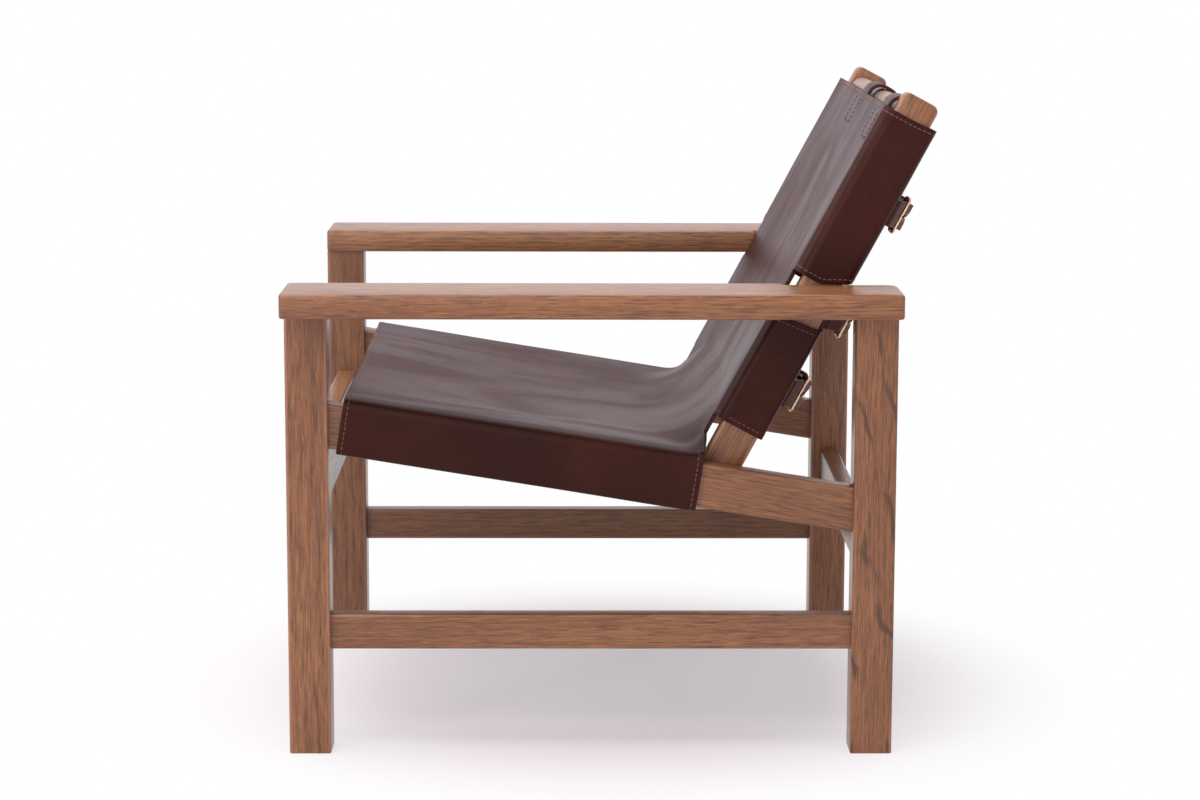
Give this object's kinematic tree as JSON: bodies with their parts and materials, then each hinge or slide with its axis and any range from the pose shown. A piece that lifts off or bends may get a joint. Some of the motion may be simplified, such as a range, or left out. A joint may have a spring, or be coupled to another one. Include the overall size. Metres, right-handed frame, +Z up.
{
  "type": "leather sling lounge chair",
  "caption": "Low lounge chair: a square hardwood frame with broad flat armrests carries one leather hide, buckled tight behind the back and under the seat.",
  "frame": {"origin": "centre of the bounding box at floor level", "axes": "+Z up, the chair faces -Y, +X to the sitter's left"},
  "size_m": [0.808, 0.7644, 0.7862],
  "materials": {
    "oak": "oiled mid-brown hardwood",
    "leather": "dark brown waxed hide",
    "brass": "polished cast brass",
    "steel": "zinc-plated steel"
  },
  "bodies": {
    "chair": {"left_front_leg": "oak", "right_front_leg": "oak", "left_rear_leg": "oak", "right_rear_leg": "oak", "left_armrest": "oak", "right_armrest": "oak", "left_lower_stretcher": "oak", "right_lower_stretcher": "oak", "left_seat_rail": "oak", "right_seat_rail": "oak", "front_cross_rail": "oak", "rear_cross_rail": "oak", "left_back_post": "oak", "right_back_post": "oak", "top_dowel": "oak", "left_rail_bolt": "steel", "right_rail_bolt": "steel", "left_armrest_bolt": "steel", "right_armrest_bolt": "steel", "leather_sling": "leather", "middle_dowel_loop": "leather", "left_dowel_loop": "leather", "back_lower_billet": "leather", "back_lower_buckle_strap": "leather", "back_lower_keeper": "leather", "back_middle_billet": "leather", "back_middle_buckle_strap": "leather", "back_middle_keeper": "leather", "back_upper_billet": "leather", "back_upper_buckle_strap": "leather", "back_upper_keeper": "leather", "seat_front_billet": "leather", "seat_front_buckle_strap": "leather", "seat_front_keeper": "leather", "seat_middle_billet": "leather", "seat_middle_buckle_strap": "leather", "seat_middle_keeper": "leather", "seat_rear_billet": "leather", "seat_rear_buckle_strap": "leather", "seat_rear_keeper": "leather", "back_lower_buckle_frame": "brass", "back_middle_buckle_frame": "brass", "back_upper_buckle_frame": "brass", "seat_front_buckle_frame": "brass", "seat_middle_buckle_frame": "brass", "seat_rear_buckle_frame": "brass"},
    "back_lower_prong": {"back_lower_buckle_prong": "brass"},
    "back_middle_prong": {"back_middle_buckle_prong": "brass"},
    "back_upper_prong": {"back_upper_buckle_prong": "brass"},
    "seat_front_prong": {"seat_front_buckle_prong": "brass"},
    "seat_middle_prong": {"seat_middle_buckle_prong": "brass"},
    "seat_rear_prong": {"seat_rear_buckle_prong": "brass"}
  },
  "joints": [
    {"name": "back_lower_prong_hinge", "type": "hinge", "parent": "chair", "child": "back_lower_prong", "pos_m": [0.2177, 0.22862, 0.42146], "axis": [0, 0.4726, 0.8813], "range_deg": [0, 25]},
    {"name": "back_middle_prong_hinge", "type": "hinge", "parent": "chair", "child": "back_middle_prong", "pos_m": [0.2177, 0.28448, 0.51082], "axis": [0, 0.4726, 0.8813], "range_deg": [0, 25]},
    {"name": "back_upper_prong_hinge", "type": "hinge", "parent": "chair", "child": "back_upper_prong", "pos_m": [0.2177, 0.34728, 0.63702], "axis": [0, 0.4726, 0.8813], "range_deg": [0, 25]},
    {"name": "seat_front_prong_hinge", "type": "hinge", "parent": "chair", "child": "seat_front_prong", "pos_m": [0.2177, -0.25279, 0.34315], "axis": [0, 0.9873, -0.159], "range_deg": [0, 25]},
    {"name": "seat_middle_prong_hinge", "type": "hinge", "parent": "chair", "child": "seat_middle_prong", "pos_m": [0.2177, -0.11283, 0.3206], "axis": [0, 0.9873, -0.159], "range_deg": [0, 25]},
    {"name": "seat_rear_prong_hinge", "type": "hinge", "parent": "chair", "child": "seat_rear_prong", "pos_m": [0.2177, 0.02713, 0.29806], "axis": [0, 0.9873, -0.159], "range_deg": [0, 25]}
  ]
}
